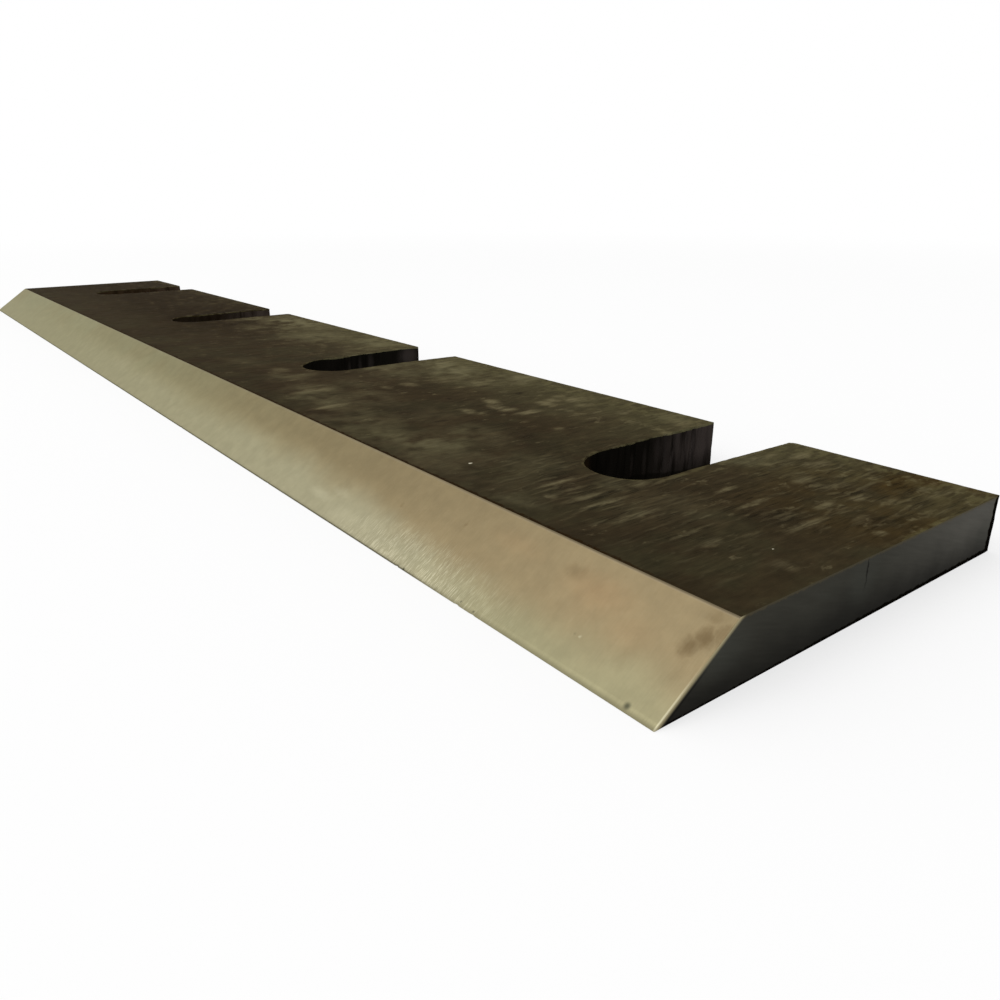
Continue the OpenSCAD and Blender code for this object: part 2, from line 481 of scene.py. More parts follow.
def knifeSurface(shape, low, high, slotCentres):
    # Surface P(i, j): point i of the outline, row j up the wall. Rows climb a quarter round at the bottom
    # arris, the wall and a quarter round at the top arris; the front leans back by the bevel's run
    outline = knifeOutline(shape, low, high, slotCentres)
    place, normal, lean, kind = outline["place"], outline["normal"], outline["lean"], outline["kind"]
    thick = high[2] - low[2]
    gaps = np.hypot(*(np.roll(place, -1, axis=0) - place).T)
    along = np.concatenate([[0], np.cumsum(gaps)[:-1]])

    isBevel, isCut, isTorn = kind == 0, kind == 2, kind == 3
    slotEnd = min(centre[1] for centre in slotCentres)
    inSlot = isCut * np.where(place[:, 1] < slotEnd, 1.0, np.clip(1.4 * (1 - np.abs(normal[:, 1])), 0, 1))
    chip = 0.8 + 0.35 * waves(along, 1.7, 21) + 0.2 * waves(along, 0.6, 22)
    isEnd = (kind == 1) | isTorn
    wide = np.where(isBevel, shape["bevelArris"], np.where(isEnd, shape["endArris"], shape["arris"] * chip))
    least, added = shape["meltedArris"]
    swell = np.clip(0.5 + 0.5 * waves(along, 7.0, 23) + 0.12 * waves(along, 2.3, 24), 0, 1)
    tall = wide + inSlot * (least + added * swell - wide)
    arrisLow = np.where(isBevel, shape["edgeLand"] * 0.3, shape["endArris"])

    turn = np.radians([0, 30, 60, 90])
    wall = np.concatenate([[0.006], np.linspace(0, 1, shape["wallRows"])[1:-1], [0.994]])
    up, inset = [], []
    for a in turn:
        up.append(arrisLow * (1 - math.cos(a)))
        inset.append(arrisLow * (1 - math.sin(a)))
    for share in wall:
        up.append(arrisLow + share * (thick - arrisLow - tall))
        inset.append(np.zeros_like(arrisLow))
    for a in turn[::-1]:
        up.append(thick - tall * (1 - math.cos(a)))
        inset.append(wide * (1 - math.sin(a)))
    up, inset = np.array(up).T, np.array(inset).T

    slope = np.clip((up - shape["edgeLand"]) / (thick - shape["edgeLand"]), 0, None)
    depth = np.zeros_like(up)
    cutDepth = dragLines(along[:, None], up, thick, shape)
    cutDepth = cutDepth + np.where((normal[:, 0] > 0.9)[:, None], gouge(place, up, thick, shape), 0.0)
    backSide = (normal[:, 1] > 0.7)[:, None]
    rough = shape["roughBack"] * (1 + waves(along[:, None] + 0.8 * up, 1.3, 31) * 0.6
                                  + waves(along[:, None] * 1.0 - 1.9 * up, 0.7, 32) * 0.4) / 2
    depth = np.where(isCut[:, None], np.where(backSide, rough, cutDepth), depth)
    depth = np.where(isTorn[:, None], 1.8 * rough, depth)
    for at, halfWidth, bite in shape["nicks"]:
        near = np.exp(-((place[:, 0] - at) / halfWidth) ** 2)[:, None] * np.exp(-(up / 0.5) ** 2)
        depth = np.where(isBevel[:, None], depth + bite * near, depth)

    inward = inset + depth
    bow = isCut * np.clip(-normal[:, 0], 0, 1) * bowed(place, shape, slotCentres, high[1])
    points = np.empty(up.shape + (3,))
    points[..., 0] = (place[:, 0] + bow)[:, None] - normal[:, None, 0] * inward
    points[..., 1] = place[:, None, 1] - normal[:, None, 1] * inward + lean[:, None] * slope * shape["bevelRun"]
    points[..., 2] = low[2] + up
    return points, kind


def knifeMesh(points, kind):
    # quads between neighbouring outline points and rows, and one flat face each for the top and the bottom
    count, rows = points.shape[:2]
    i = np.arange(count)[:, None]
    j = np.arange(rows - 1)[None, :]
    after = (i + 1) % count
    quads = np.stack([i * rows + j, after * rows + j, after * rows + j + 1, i * rows + j + 1], -1).reshape(-1, 4)
    top = np.arange(count) * rows + rows - 1
    bottom = (np.arange(count) * rows)[::-1]
    mesh = bpy.data.meshes.new("planerKnife")
    mesh.from_pydata((points.reshape(-1, 3) * mm).tolist(), [], quads.tolist() + [top.tolist(), bottom.tolist()])

    # slots of the mesh: flats, bevel, end faces, cut walls; the top arris rows belong to the flats,
    # apart from the bevel's own
    wallSlot = np.array([1, 2, 3, 3])[kind]
    slots = np.repeat(wallSlot[:, None], rows - 1, axis=1)
    arrisRows = 3
    slots[:, rows - 1 - arrisRows:] = np.where(kind == 0, 1, 0)[:, None]
    slots = np.concatenate([slots.reshape(-1), [0, 0]]).astype(np.int32)
    mesh.polygons.foreach_set("material_index", slots)
    smooth = np.ones(len(slots), bool)
    smooth[-2:] = False
    mesh.polygons.foreach_set("use_smooth", smooth)
    mesh.update()
    mesh.validate()
    return mesh


def makeKnife(shape):
    low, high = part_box("knife")
    low, high = np.array(low) / mm, np.array(high) / mm
    slotCentres = [(m["pos_m"][0] / mm, m["pos_m"][1] / mm) for m in frame["record"]["mounts"]
                   if m["name"].startswith("slot_")]
    points, kind = knifeSurface(shape, low, high, slotCentres)
    mesh = knifeMesh(points, kind)
    knife = bpy.data.objects.new("planerKnife", mesh)
    bpy.context.collection.objects.link(knife)
    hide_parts("knife")
    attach(knife, "root")
    print("knife surface made:", len(mesh.polygons), "faces")
    return knife


knife = makeKnife(knifeShape)


# Finishes. Every pattern reads object coordinates in millimetres

def startMaterial(name, look):
    material = bpy.data.materials.new(name)
    material.use_nodes = True
    tree = material.node_tree
    tree.nodes.clear()
    where = put(tree, "TexCoord").outputs["Object"]
    inMm = put(tree, "VectorMath", {0: where, 3: 1000.0}, operation="SCALE")
    inMm.inputs["Scale"].default_value = 1000.0
    shader = put(tree, "BsdfPrincipled", {"Metallic": look["metallic"], "Roughness": look["roughness"],
                                          "Specular IOR Level": look["sheen"], "Specular Tint": look["edgeTint"]})
    leave = put(tree, "OutputMaterial")
    tree.links.new(shader.outputs[0], leave.inputs["Surface"])
    return material, tree, inMm.outputs[0], shader


def turned(tree, vector, angles):
    # the same coordinates, turned so that a pattern runs the way its lines do
    return put(tree, "Mapping", {"Vector": vector, "Rotation": angles}, vector_type="POINT").outputs[0]


def strengthen(tree, colour, amount):
    made = put(tree, "VectorMath", {0: colour}, operation="SCALE")
    if isinstance(amount, bpy.types.NodeSocket):
        tree.links.new(amount, made.inputs["Scale"])
    else:
        made.inputs["Scale"].default_value = amount
    return made.outputs[0]


def marked(tree, place, centre, radii, softness=0.5):
    return useGroup(tree, groups["spot"], {"Vector": place, "Centre": centre, "Radii": radii,
                                           "Softness": softness}).outputs[0]


def strongest(tree, masks):
    result = masks[0]
    for mask in masks[1:]:
        result = maths(tree, "MAXIMUM", result, mask)
    return result


def times(tree, *factors):
    result = factors[0]
    for factor in factors[1:]:
        result = maths(tree, "MULTIPLY", result, factor)
    return result


flatFinish = {
    "front": tone(55, 48, 34),
    "brown": tone(61, 54, 38),
    "moss": tone(62, 59, 42),
    "gold": tone(70, 59, 32),
    "olive": tone(81, 78, 57),
    "far": tone(41, 32, 13),
    "grey": tone(118, 114, 90),
    "dab": tone(122, 115, 91),
    "dark": tone(36, 30, 20),
    "rim": tone(106, 102, 74),
    "bevelRim": tone(46, 32, 8),
    "speck": tone(205, 200, 180),
    "metallic": 0.9,
    "roughness": 0.65,
    "sheen": 0.5,
    "edgeTint": (0.34, 0.28, 0.19, 1.0),
    # worn dabs on the top face: x, y, half width, half length, strength
    "dabs": [
        (187, -13, 1.0, 6, 0.5), (191, -13, 0.9, 6, 0.75), (178.5, -12, 0.9, 5.5, 0.8), (198, -13, 1.1, 6, 0.55),
        (183, -17.5, 1.5, 1.2, 0.7), (183, -12, 0.8, 3, 0.35), (212, -12, 1.2, 3, 0.45), (223, -10.5, 2.2, 2, 0.4),
        (188, -1.5, 1.6, 2.8, 0.55), (199, 8, 0.8, 3.5, 0.75), (206, 6, 0.7, 5, 0.75), (216.5, 5, 1.1, 6.5, 0.65),
        (225, 10, 1.1, 1.5, 0.7), (213.5, 14, 1.2, 3, 0.8), (215, 22, 1.3, 3, 0.75), (209, 23.5, 1.0, 4, 0.6),
        (204, 22.5, 1.5, 3.5, 0.6), (201, 32, 1.5, 4, 0.65), (195.5, 34.5, 1.6, 3.5, 0.8), (192, 30, 0.9, 2, 0.6),
        (222, 33, 1.0, 4, 0.4), (195, 25, 1.4, 1.4, 0.5), (219, 24, 1.0, 3, 0.45),
        (124.6, 14.4, 3.0, 2.3, 1.0), (129.6, 12.3, 3.8, 2.3, 1.0), (133.2, 12.6, 1.8, 3.0, 1.0),
        (138, 15, 1.7, 4.8, 0.95), (133.8, 23.4, 2.8, 2.6, 0.9), (132.5, 27, 2.4, 2.6, 0.85),
        (131, 30.6, 2.4, 2.2, 0.6), (135.5, 30.8, 2.4, 3, 0.9), (140.6, 29.3, 1.8, 2.6, 0.6),
        (128.8, 4.6, 3.4, 2, 0.85), (131.7, 5.8, 1.4, 2, 0.6), (151.5, 31.5, 1.7, 2.3, 0.75),
        (143, 23, 1.2, 1.6, 0.6), (166, 34.5, 3.4, 3.4, 0.6), (169, 26.5, 1.6, 1.8, 0.6), (153, 11, 1.3, 1.8, 0.45),
        (105, -18, 1.7, 6, 0.95), (135.5, -18.5, 1.2, 2.2, 0.45), (105.5, 24, 4.2, 3.6, 0.7),
        (87, -14, 2.3, 6.5, 0.65), (96, 9, 3.5, 2.4, 0.7), (95.5, 2.5, 2.6, 1.6, 0.55), (97.5, 21, 4, 7, 0.45),
        (75, 14, 3.2, 2.4, 0.65), (57, -9.5, 4.5, 3, 0.45), (111, 33, 5, 4, 0.35), (136, 34, 4, 3, 0.4),
    ],
    # broad pale clouds, written the same way
    "clouds": [
        (138, -19, 58, 15, 0.36), (145, -18, 18, 12, 0.58), (100, -17, 22, 10, 0.45), (107, 25, 12, 10, 0.2),
        (88, 28, 17, 17, 0.75), (142, 24, 18, 14, 0.1), (108, 36, 15, 8, 0.8), (10, 24, 20, 17, 0.55),
        (-26, 33, 34, 18, 1.0), (40, 26, 15, 12, 0.36), (198, -6, 14, 12, 0.15), (-110, 22, 20, 14, 0.1),
        (146, -7, 16, 11, 0.32), (125, -6, 14, 11, 0.2), (104, -6, 16, 12, 0.32), (84, 14, 14, 12, 0.3),
        (87, -14, 12, 10, 0.5), (181, -22, 9, 5, 0.3), (168, -9, 14, 9, 0.2), (185, -4, 6, 6, 0.35),
        (85, 0, 13, 9, 0.17), (40, -12, 15, 8, 0.15), (65, -11, 14, 12, 0.35), (79, 31, 15, 12, 1.0),
        (36, 36, 22, 12, 0.75), (192, 24, 7, 9, 0.5), (-24, 15, 11, 9, 0.4), (-44, 22, 8, 14, 0.6),
        (73, 18, 7, 12, 0.5), (162, 38, 7, 5, 0.45),
    ],
    # old oil, written the same way
    "stains": [
        (132, -5, 1.2, 3.4, 0.6), (116, 8, 1.2, 0.9, 0.7), (153, 22, 1.6, 7, 0.45), (122, 25, 2, 2, 0.5),
        (110, 23, 1.8, 3, 0.5), (160, -2, 7, 9, 0.25), (176, -9, 4, 4.5, 0.4), (120, -6, 16, 7, 0.3),
        (148, 2, 14, 6, 0.25), (60, 2, 26, 5, 0.15), (211, 3, 9, 8, 0.45),
        (-72, 18, 3.2, 24, 0.85), (-192, 20, 4, 24, 0.4),
        (212, 24, 10, 8, 0.3), (222, 14, 5, 6, 0.35), (198, 34, 8, 7, 0.3), (210, 14, 8, 5, 0.15),
    ],
    # bare bright specks: x, y, radius
    "specks": [(160.5, -17.5, 0.45), (219, -7, 0.22)],
    "slotPitch": 119.667,
    "slotRadius": 9.75,
    "roundEnd": 6.75,             # how far across the width the slots' round ends are centred
}


def makeFlatFinish(look):
    # flats: dark oiled skin with cross lines, olive towards the back edge, worn dabs along the lines
    material, tree, place, shader = startMaterial("oiledFlat", look)
    frayed = useGroup(tree, groups["fray"], {"Vector": place, "Size": 2.2, "Reach": 0.8}).outputs[0]
    swayed = useGroup(tree, groups["fray"], {"Vector": place, "Size": 8.0, "Reach": 1.2}).outputs[0]
    lumpy = useGroup(tree, groups["fray"], {"Vector": place, "Size": 12.0, "Reach": 9.0}).outputs[0]
    here = put(tree, "SeparateXYZ", {0: place}).outputs
    loose = put(tree, "SeparateXYZ", {0: lumpy}).outputs
    fromMiddle = maths(tree, "ABSOLUTE", here[0])
    looseEnd = maths(tree, "ABSOLUTE", loose[0])

    # ground colour: darker beside the bevel, olive at the back, golden at both ends, mossy in patches
    colour = blendColours(tree, ramp(tree, loose[1], -30.0, -8.0), look["front"], look["brown"])
    moss = useGroup(tree, groups["mottle"], {"Vector": place, "Size": 14.0, "Stretch": 1.2, "Contrast": 1.0})
    colour = blendColours(tree, ramp(tree, moss.outputs["Cloud"], 0.42, 0.62, 0.0, 0.8), colour, look["moss"])
    colour = blendColours(tree, ramp(tree, loose[1], 6.0, 40.0), colour, look["olive"])
    gilded = times(tree, ramp(tree, looseEnd, 194.0, 214.0), ramp(tree, loose[1], -4.0, 24.0),
                   ramp(tree, moss.outputs["Cloud"], 0.38, 0.6, 0.95, 0.3))
    colour = blendColours(tree, gilded, colour, look["gold"])
    distant = times(tree, ramp(tree, loose[0], 12.0, -50.0), ramp(tree, loose[1], -26.0, 10.0, 0.0, 0.93))
    colour = blendColours(tree, distant, colour, look["far"])
    for spots, shade, softness, reading in ((look["clouds"], look["grey"], 1.0, lumpy),
                                            (look["stains"], look["dark"], 0.9, frayed)):
        masks = [times(tree, marked(tree, reading, (x, y, 10), (w, h, 4), softness), strength)
                 for x, y, w, h, strength in spots]
        colour = blendColours(tree, strongest(tree, masks), colour, shade)

    # uneven shade, and fine lines of old grinding, clearest towards the ends of the knife
    broadShade = useGroup(tree, groups["mottle"], {"Vector": place, "Size": 8.0, "Stretch": 1.6, "Contrast": 0.3})
    smallShade = useGroup(tree, groups["mottle"], {"Vector": place, "Size": 1.7, "Stretch": 2.2, "Contrast": 0.46})
    lines = useGroup(tree, groups["lines"], {"Vector": place, "Across": 0.5, "Along": 5.0, "Depth": 8.0})
    broad = useGroup(tree, groups["lines"], {"Vector": place, "Across": 1.2, "Along": 7.0, "Depth": 8.0})
    uneven = useGroup(tree, groups["patches"], {"Vector": place, "Width": 16.0, "Length": 20.0, "Level": 0.38,
                                                "Softness": 0.25, "Ragged": 2.0}).outputs[0]
    smoothFront = ramp(tree, loose[1], -24.0, -10.0, 0.3, 1.0)
    calm = maths(tree, "SUBTRACT", 1.0, times(tree, marked(tree, lumpy, (228, -10, 10), (22, 26, 9), 0.7), 0.75))
    force = times(tree, ramp(tree, fromMiddle, 140.0, 190.0, 0.4, 1.0), ramp(tree, uneven, 0.0, 1.0, 0.45, 1.0),
                  smoothFront, calm)
    both = maths(tree, "ADD", times(tree, lines.outputs["Height"], 0.7), times(tree, broad.outputs["Height"], 0.8))
    strokes = ramp(tree, both, -0.15, 0.0, 0.4, 0.0)
    crests = ramp(tree, both, 0.03, 0.2, 0.0, 0.25)
    lined = maths(tree, "ADD", 1.0, times(tree, maths(tree, "SUBTRACT", crests, strokes), force))
    farDim = ramp(tree, here[0], -225.0, -140.0, 0.88, 1.0)
    colour = strengthen(tree, colour, times(tree, lined, broadShade.outputs["Shade"], smallShade.outputs["Shade"],
                                            farDim))

    # raised streaks: a pale line with a dark one at its side, which is a painted shadow of the streak
    behind = put(tree, "VectorMath", {0: swayed, 1: (-0.7, 0.0, 0.0)}, operation="ADD").outputs[0]
    streaky = times(tree, ramp(tree, fromMiddle, 150.0, 185.0, 0.2, 1.0), ramp(tree, loose[1], -26.0, -12.0, 0.2, 1.0),
                    ramp(tree, moss.outputs["Cloud"], 0.36, 0.56, 0.35, 1.0), calm)
    sides = []
    for reading in (swayed, behind):
        sides.append(useGroup(tree, groups["patches"], {"Vector": reading, "Width": 1.0, "Length": 9.0, "Level": 0.53,
                                                        "Softness": 0.18, "Ragged": 2.0}).outputs[0])
    # painted shadow: the dark line beside each pale streak
    colour = blendColours(tree, times(tree, sides[1], streaky, 0.3), colour, look["dark"])
    colour = blendColours(tree, times(tree, sides[0], streaky, 0.3), colour, look["dab"])

    # worn dabs: the ones that are known, and random ones on the rest of the knife and underneath
    masks = [times(tree, marked(tree, frayed, (x, y, 10), (w * 1.3, h * 1.2, 4), 0.85), strength)
             for x, y, w, h, strength in look["dabs"]]
    known = times(tree, ramp(tree, here[0], 85.0, 100.0), ramp(tree, here[2], 8.0, 9.0))
    level = maths(tree, "ADD", ramp(tree, here[1], -22.0, 36.0, 0.61, 0.53), times(tree, known, 0.03))
    stray = useGroup(tree, groups["patches"], {"Vector": frayed, "Width": 2.6, "Length": 5.0, "Level": level,
                                               "Softness": 0.1, "Ragged": 3.0}).outputs[0]
    masks.append(times(tree, stray, 0.45))
    broken = times(tree, ramp(tree, both, -0.1, 0.06, 0.5, 1.0),
                   ramp(tree, smallShade.outputs["Cloud"], 0.34, 0.56, 0.45, 1.0))
    colour = blendColours(tree, times(tree, strongest(tree, masks), broken, 0.95), colour, look["dab"])

    # worn rims: pale round the slots, along the back edge and at the ends, burnt brown beside the bevel
    frayedParts = put(tree, "SeparateXYZ", {0: frayed}).outputs
    fromSlot = maths(tree, "ABSOLUTE", maths(tree, "SUBTRACT", maths(
        tree, "FLOORED_MODULO", frayedParts[0], look["slotPitch"]), look["slotPitch"] / 2))
    below = maths(tree, "MINIMUM", maths(tree, "SUBTRACT", frayedParts[1], look["roundEnd"]), 0.0)
    round = maths(tree, "SQRT", maths(tree, "ADD", times(tree, fromSlot, fromSlot), times(tree, below, below)))
    slotRim = ramp(tree, maths(tree, "SUBTRACT", round, look["slotRadius"]), 0.0, 0.6, 0.6, 0.0)
    outerRim = maths(tree, "MAXIMUM", ramp(tree, frayedParts[1], 40.0, 40.7),
                     times(tree, ramp(tree, maths(tree, "ABSOLUTE", frayedParts[0]), 227.5, 228.1),
                           ramp(tree, loose[1], 0.0, 16.0)))
    rim = times(tree, maths(tree, "MAXIMUM", slotRim, outerRim), ramp(tree, smallShade.outputs["Cloud"], 0.4, 0.6, 0.1, 1.0))
    backBand = times(tree, ramp(tree, loose[1], 31.0, 41.0), ramp(tree, smallShade.outputs["Cloud"], 0.45, 0.58, 0.0, 0.45))
    colour = blendColours(tree, maths(tree, "MAXIMUM", times(tree, rim, 0.55), backBand), colour, look["rim"])
    burnt = times(tree, ramp(tree, frayedParts[1], -26.1, -26.5), ramp(tree, smallShade.outputs["Cloud"], 0.32, 0.5, 0.3, 1.0),
                  ramp(tree, here[0], 222.0, 206.0, 0.2, 0.95))
    colour = blendColours(tree, burnt, colour, look["bevelRim"])

    specks = [marked(tree, frayed, (x, y, 10), (radius, radius * 1.3, 2), 0.6) for x, y, radius in look["specks"]]
    dust = useGroup(tree, groups["specks"], {"Vector": place, "Spacing": 6.5, "Radius": 0.025, "Share": 0.08})
    colour = blendColours(tree, maths(tree, "MAXIMUM", strongest(tree, specks), times(tree, dust.outputs[0], 0.2)),
                          colour, look["speck"])
    tree.links.new(colour, shader.inputs["Base Color"])
    tree.links.new(ramp(tree, both, -0.3, 0.3, look["roughness"] + 0.08, look["roughness"] - 0.08),
                   shader.inputs["Roughness"])
    bump = put(tree, "Bump", {"Height": both, "Strength": 0.3, "Distance": 0.00006})
    tree.links.new(bump.outputs[0], shader.inputs["Normal"])
    return material


bevelFinish = {
    "base": tone(150, 134, 102),
    "low": tone(152, 146, 114),
    "pale": tone(167, 161, 133),
    "cool": tone(161, 156, 126),
    "pink": tone(162, 136, 101),
    "stain": tone(92, 72, 44),
    "pit": tone(58, 60, 48),
    "glint": tone(214, 208, 178),
    "lilac": tone(190, 184, 182),
    "land": tone(66, 62, 46),
    "metallic": 1.0,
    "roughness": 0.42,
    "sheen": 0.5,
    "edgeTint": (0.6, 0.6, 0.5, 1.0),
    "run": 14.0,
    "rise": 9.9,
    "upSlope": 1.732,             # slope length for each millimetre of height
    # marks: distance along, distance up the slope, half width, half height, strength
    "pinkMarks": [(209, 12, 10, 4.5, 0.55), (191, 13, 9, 3, 0.25), (217, 9, 6, 5, 0.25)],
    "brownMarks": [(226.4, 12.9, 2.2, 2.6, 0.6), (225.4, 11.0, 2.0, 2.6, 0.55), (226.2, 7.6, 1.3, 4.6, 0.1),
                   (203.7, 13.2, 3.0, 1.6, 0.22), (218.8, 6.2, 1.8, 3.4, 0.12), (226, 16, 2.2, 1.8, 0.3),
                   (178.5, 12.2, 0.6, 0.9, 0.25), (161.7, 9.9, 0.8, 0.7, 0.2), (223.5, 1.4, 8, 3, 0.09),
                   (228, 14.2, 1.8, 2.4, 0.4)],
    "pits": [(223.6, 1.0, 0.75, 0.75, 0.8), (174.3, 0.25, 0.45, 0.5, 0.9), (189.8, 0.9, 0.3, 0.35, 0.6),
             (193.2, 0.6, 0.3, 0.35, 0.6), (210.5, 5.4, 0.35, 0.35, 0.2)],
    "paleMarks": [(139, 4, 6, 1.6, 0.2), (144, 6.5, 5, 1.2, 0.15), (150, 2.4, 9, 2.4, 0.12), (211.5, 5.5, 0.4, 0.3, 0.3)],
}


def makeBevelFinish(look):
    # bevel: bright ground steel, fine lines straight up the slope, paler towards the cutting edge
    material, tree, place, shader = startMaterial("groundBevel", look)
    parts = put(tree, "SeparateXYZ", {0: place}).outputs
    frayed = useGroup(tree, groups["fray"], {"Vector": place, "Size": 1.6, "Reach": 0.7}).outputs[0]
    lines = useGroup(tree, groups["lines"], {"Vector": place, "Across": 0.15, "Along": 5.0, "Depth": 3.6})
    clouds = put(tree, "TexNoise", {"Vector": place, "Scale": 0.05, "Detail": 3.0}).outputs[0]
    wander = maths(tree, "SUBTRACT", clouds, 0.5)
    slope = maths(tree, "MULTIPLY", parts[2], look["upSlope"])
    height = maths(tree, "ADD", slope, times(tree, wander, 9.0))
    away = ramp(tree, parts[0], 190.0, 125.0)
    cool = times(tree, ramp(tree, parts[0], 190.0, -60.0), ramp(tree, clouds, 0.35, 0.65, 0.7, 1.0))
    upper = blendColours(tree, cool, look["base"], look["cool"])
    shaded = times(tree, ramp(tree, slope, 6.5, 14.5), ramp(tree, parts[0], 205.0, 140.0), ramp(tree, parts[0], -120.0, 60.0, 0.4, 1.0))
    upper = strengthen(tree, upper, maths(tree, "SUBTRACT", 1.0, times(tree, shaded, 0.15)))
    faded = times(tree, ramp(tree, parts[0], 205.0, 160.0), ramp(tree, parts[0], -130.0, 20.0, 0.6, 1.0))
    lower = blendColours(tree, faded, look["low"], look["pale"])
    height = maths(tree, "SUBTRACT", height, times(tree, away, 3.4))
    colour = blendColours(tree, ramp(tree, height, 1.2, 9.0), lower, upper)

    def onSlope(marks, softness, reading):
        masks = []
        for x, up, halfWidth, halfHeight, strength in marks:
            z = up / look["upSlope"]
            centre = (x, z / look["rise"] * look["run"] - 41.0, z)
            radii = (halfWidth, 30.0, halfHeight / look["upSlope"])
            masks.append(times(tree, marked(tree, reading, centre, radii, softness), strength))
        return strongest(tree, masks)

    colour = blendColours(tree, onSlope(look["pinkMarks"], 1.0, frayed), colour, look["pink"])
    colour = blendColours(tree, onSlope(look["brownMarks"], 0.9, frayed), colour, look["stain"])

    # painted glints: highlights painted on the highest of the grinding lines, in a zone above the cutting edge
    zone = marked(tree, place, (172, -38, 0.8), (35, 40, 4.6), 1.0)
    zone = maths(tree, "ADD", times(tree, zone, ramp(tree, clouds, 0.3, 0.6, 0.5, 1.0)), 0.03)
    crests = useGroup(tree, groups["lines"], {"Vector": place, "Across": 0.13, "Along": 2.3, "Depth": 1.8})
    glints = times(tree, ramp(tree, crests.outputs["Lines"], 0.5, 0.61), zone)
    colour = blendColours(tree, glints, colour, look["glint"])
    contrast = times(tree, ramp(tree, zone, 0.0, 0.6, 0.1, 0.45), ramp(tree, parts[0], 190.0, 208.0, 1.0, 0.4))
    shade = maths(tree, "ADD", ramp(tree, parts[2], 0.1, 0.7, 0.92, 1.0), times(tree, lines.outputs["Height"], contrast))
    mottle = put(tree, "TexNoise", {"Vector": place, "Scale": 0.3, "Detail": 4.0, "Roughness": 0.6}).outputs[0]
    colour = strengthen(tree, colour, times(tree, shade, ramp(tree, mottle, 0.2, 0.8, 0.92, 1.08)))
    colour = blendColours(tree, onSlope(look["paleMarks"], 0.9, frayed), colour, look["glint"])
    colour = blendColours(tree, onSlope(look["pits"], 0.9, place), colour, look["pit"])

    # the arrises: a painted highlight down each end, a faint painted highlight and a painted shade along the flat, a
    # dark line at the cutting edge
    ends = times(tree, ramp(tree, maths(tree, "ABSOLUTE", parts[0]), 228.22, 228.34), ramp(tree, parts[2], 1.0, 6.5, 0.5, 0.0))
    colour = blendColours(tree, ends, colour, look["glint"])
    # faint painted highlight along the top arris
    colour = blendColours(tree, times(tree, ramp(tree, parts[2], 9.72, 9.8), 0.07), colour, look["lilac"])
    # painted shade: the top arris darkened, most towards the +X end
    arrisWearAndShade = times(tree, ramp(tree, parts[2], 9.76, 9.97), ramp(tree, parts[0], 150.0, 205.0, 0.3, 1.0))
    colour = strengthen(tree, colour, maths(tree, "SUBTRACT", 1.0, times(tree, arrisWearAndShade, 0.5)))
    darkEdge = times(tree, ramp(tree, parts[2], 0.3, 0.12), ramp(tree, parts[0], 192.0, 170.0, 0.1, 0.8))
    colour = blendColours(tree, darkEdge, colour, look["land"])
    tree.links.new(colour, shader.inputs["Base Color"])
    tree.links.new(ramp(tree, lines.outputs["Lines"], 0.25, 0.75, look["roughness"] + 0.05, look["roughness"] - 0.05),
                   shader.inputs["Roughness"])
    bump = put(tree, "Bump", {"Height": lines.outputs["Height"], "Strength": 0.08, "Distance": 0.00003})
    tree.links.new(bump.outputs[0], shader.inputs["Normal"])
    return material


endFinish = {
    "upper": tone(59, 58, 52),
    "lower": tone(35, 34, 31),
    "tip": tone(68, 69, 63),
    "back": tone(87, 85, 79),
    "seam": tone(20, 18, 17),
    "shadowAndTornBlack": tone(9, 7, 5),
    # paler places: y, z, half width, half height, strength
    "paleMarks": [(-30, 6.5, 8, 5.5, 0.55), (0.5, 7, 6, 6, 0.5), (-8, 8, 5, 3, 0.15), (38, 4, 4, 4, 0.4)],
    "rim": tone(84, 76, 56),
    "arrisWearAndShade": tone(162, 152, 120),
    "bevelFoot": (-41.0, 0.12),   # where the bevel starts: y, z
    "bevelRun": 14.0,
    "bevelRise": 9.88,
    "metallic": 1.0,
    "roughness": 0.5,
    "sheen": 0.0,                 # only the painted shadow band at the bottom and the dark torn strip at the back, which aren't metallic, show this
    "edgeTint": (0.5, 0.5, 0.5, 1.0),
}


